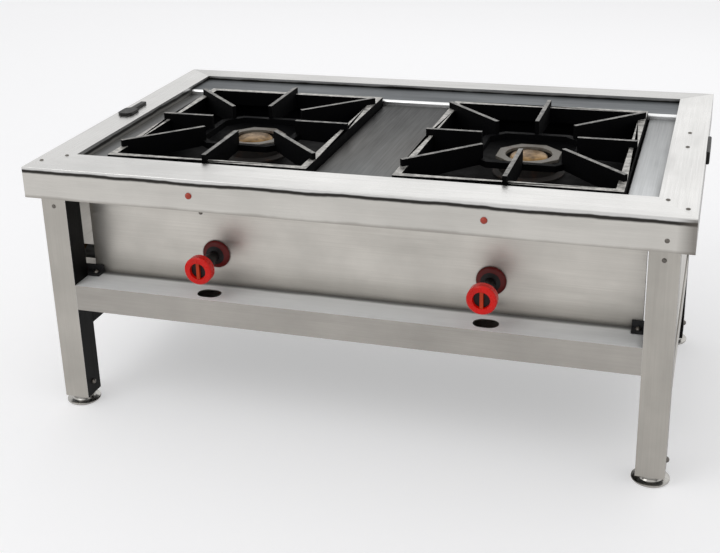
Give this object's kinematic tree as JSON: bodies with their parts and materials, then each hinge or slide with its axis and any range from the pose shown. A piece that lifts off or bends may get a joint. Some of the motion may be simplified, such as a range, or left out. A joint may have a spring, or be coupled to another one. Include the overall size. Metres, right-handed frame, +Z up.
{
  "type": "stock pot range",
  "caption": "Low stainless steel gas stock pot range on square legs, with burners in recessed wells under lift-off cast pan supports and red control knobs.",
  "frame": {"origin": "on the floor, under the middle of the whole object's box", "axes": "+X to the right as seen from the front, +Y to the back, +Z up; the knobs are on the front, facing -Y"},
  "size_m": [1.212, 0.765, 0.512],
  "materials": {
    "stainless_rim": "fine brushed",
    "stainless_deck": "fine brushed",
    "stainless_leg": "fine brushed",
    "stainless_panel": "fine brushed",
    "galvanised_inner": "dull",
    "black_enamel": "gloss enamel",
    "cast_support": "enamelled black",
    "cast_burner": "rough cast",
    "burner_ring": "machined top",
    "brass": "turned",
    "red_knob": "gloss",
    "red_stud": "gloss",
    "dark_bezel": "satin",
    "dark_grip": "satin",
    "dark_bracket": "satin",
    "foot_metal": "satin",
    "screw_steel": "satin"
  },
  "bodies": {
    "frame": {"rim_front": "stainless_rim", "rim_rear": "stainless_rim", "rim_left": "stainless_rim", "rim_right": "stainless_rim", "middle_plate": "stainless_deck", "side_strip_left": "stainless_deck", "side_strip_right": "stainless_deck", "front_strip": "stainless_deck", "rear_ledge": "stainless_deck", "leg_front_left": "stainless_leg", "leg_front_right": "stainless_leg", "leg_rear_left": "stainless_leg", "leg_rear_right": "stainless_leg", "leg_plugs": "galvanised_inner", "leg_plates": "galvanised_inner", "front_rail": "stainless_leg", "rear_rail": "stainless_leg", "side_rail_left": "stainless_leg", "side_rail_right": "stainless_leg", "front_panel": "stainless_panel", "rear_panel": "stainless_panel", "side_panel_left": "stainless_panel", "side_panel_right": "stainless_panel", "support_bar_front": "galvanised_inner", "support_bar_rear": "galvanised_inner", "rail_brackets": "dark_bracket", "spill_pan_left": "black_enamel", "burner_body_left": "cast_burner", "burner_ring_left": "burner_ring", "knob_bezel_left": "dark_bezel", "gas_valve_left": "brass", "injector_left": "brass", "side_grip_left": "dark_grip", "spill_pan_right": "black_enamel", "burner_body_right": "cast_burner", "burner_ring_right": "burner_ring", "knob_bezel_right": "dark_bezel", "gas_valve_right": "brass", "injector_right": "brass", "side_grip_right": "dark_grip", "gas_manifold": "galvanised_inner", "manifold_cap": "galvanised_inner", "manifold_clips": "galvanised_inner", "nut_strip": "galvanised_inner", "gas_inlet_nipple": "brass", "small_screws": "screw_steel", "bolts": "screw_steel", "apron_studs": "red_stud"},
    "pan_support_left": {"pan_support_left": "cast_support"},
    "burner_cap_left": {"burner_cap_left": "brass"},
    "knob_left": {"knob_left": "red_knob", "valve_spindle_left": "brass"},
    "pan_support_right": {"pan_support_right": "cast_support"},
    "burner_cap_right": {"burner_cap_right": "brass"},
    "knob_right": {"knob_right": "red_knob", "valve_spindle_right": "brass"},
    "foot_front_left": {"foot_front_left": "foot_metal"},
    "foot_front_right": {"foot_front_right": "foot_metal"},
    "foot_rear_left": {"foot_rear_left": "foot_metal"},
    "foot_rear_right": {"foot_rear_right": "foot_metal"}
  },
  "joints": [
    {"name": "pan_support_left_lift", "type": "slide", "parent": "frame", "child": "pan_support_left", "axis": [0, 0, 1], "range_m": [0, 0.15]},
    {"name": "burner_cap_left_lift", "type": "slide", "parent": "frame", "child": "burner_cap_left", "axis": [0, 0, 1], "range_m": [0, 0.06]},
    {"name": "knob_left_turn", "type": "hinge", "parent": "frame", "child": "knob_left", "pos_m": [-0.261, -0.2855, 0.322], "axis": [0, -1, 0], "range_deg": [0, 90]},
    {"name": "pan_support_right_lift", "type": "slide", "parent": "frame", "child": "pan_support_right", "axis": [0, 0, 1], "range_m": [0, 0.15]},
    {"name": "burner_cap_right_lift", "type": "slide", "parent": "frame", "child": "burner_cap_right", "axis": [0, 0, 1], "range_m": [0, 0.06]},
    {"name": "knob_right_turn", "type": "hinge", "parent": "frame", "child": "knob_right", "pos_m": [0.261, -0.2855, 0.322], "axis": [0, -1, 0], "range_deg": [0, 90]},
    {"name": "foot_front_left_screw", "type": "slide", "parent": "frame", "child": "foot_front_left", "axis": [0, 0, -1], "range_m": [0, 0.02]},
    {"name": "foot_front_right_screw", "type": "slide", "parent": "frame", "child": "foot_front_right", "axis": [0, 0, -1], "range_m": [0, 0.02]},
    {"name": "foot_rear_left_screw", "type": "slide", "parent": "frame", "child": "foot_rear_left", "axis": [0, 0, -1], "range_m": [0, 0.02]},
    {"name": "foot_rear_right_screw", "type": "slide", "parent": "frame", "child": "foot_rear_right", "axis": [0, 0, -1], "range_m": [0, 0.02]}
  ]
}
